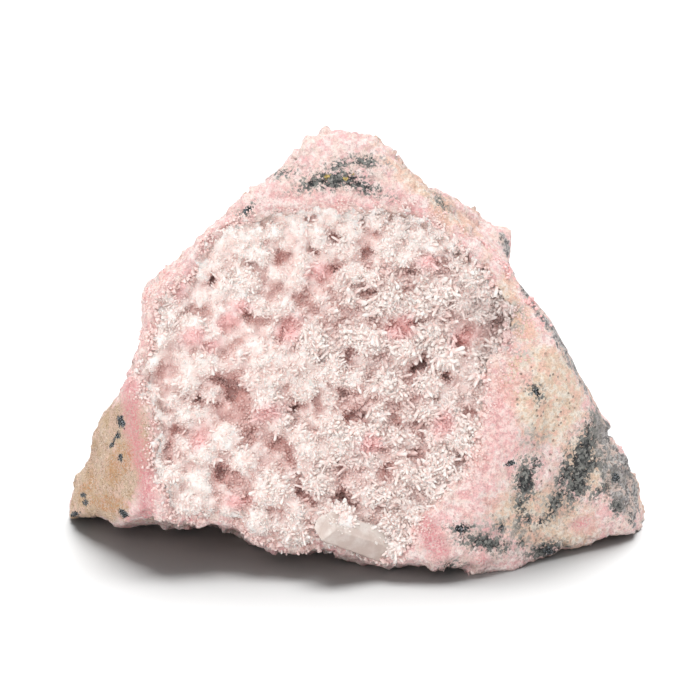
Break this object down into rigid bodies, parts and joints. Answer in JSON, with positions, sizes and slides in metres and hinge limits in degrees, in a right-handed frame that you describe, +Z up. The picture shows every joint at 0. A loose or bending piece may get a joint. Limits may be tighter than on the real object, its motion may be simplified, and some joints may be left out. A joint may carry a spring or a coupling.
{
  "type": "rhodochrosite specimen",
  "caption": "Hand-sized three-cornered block of pink carbonate rock with an open pocket of small quartz crystals in its leaning front face; stands on a broken flat foot.",
  "frame": {"origin": "on the resting plane, under the middle of the specimen's box", "axes": "+X to the right along the specimen's width, -Y towards the side with the crystal pocket, +Z up to the summit"},
  "size_m": [0.0996, 0.0486, 0.0691],
  "materials": {
    "carbonate_rock": "broken pink, cream and buff carbonate rock with grey sulphide patches",
    "small_quartz": "translucent white to pale pink quartz crystals, glossy",
    "milky_quartz": "milky translucent quartz with smooth shiny faces"
  },
  "bodies": {
    "root": {"matrix_rock": "carbonate_rock", "quartz_druse": "small_quartz", "milky_crystal": "milky_quartz"}
  },
  "joints": []
}
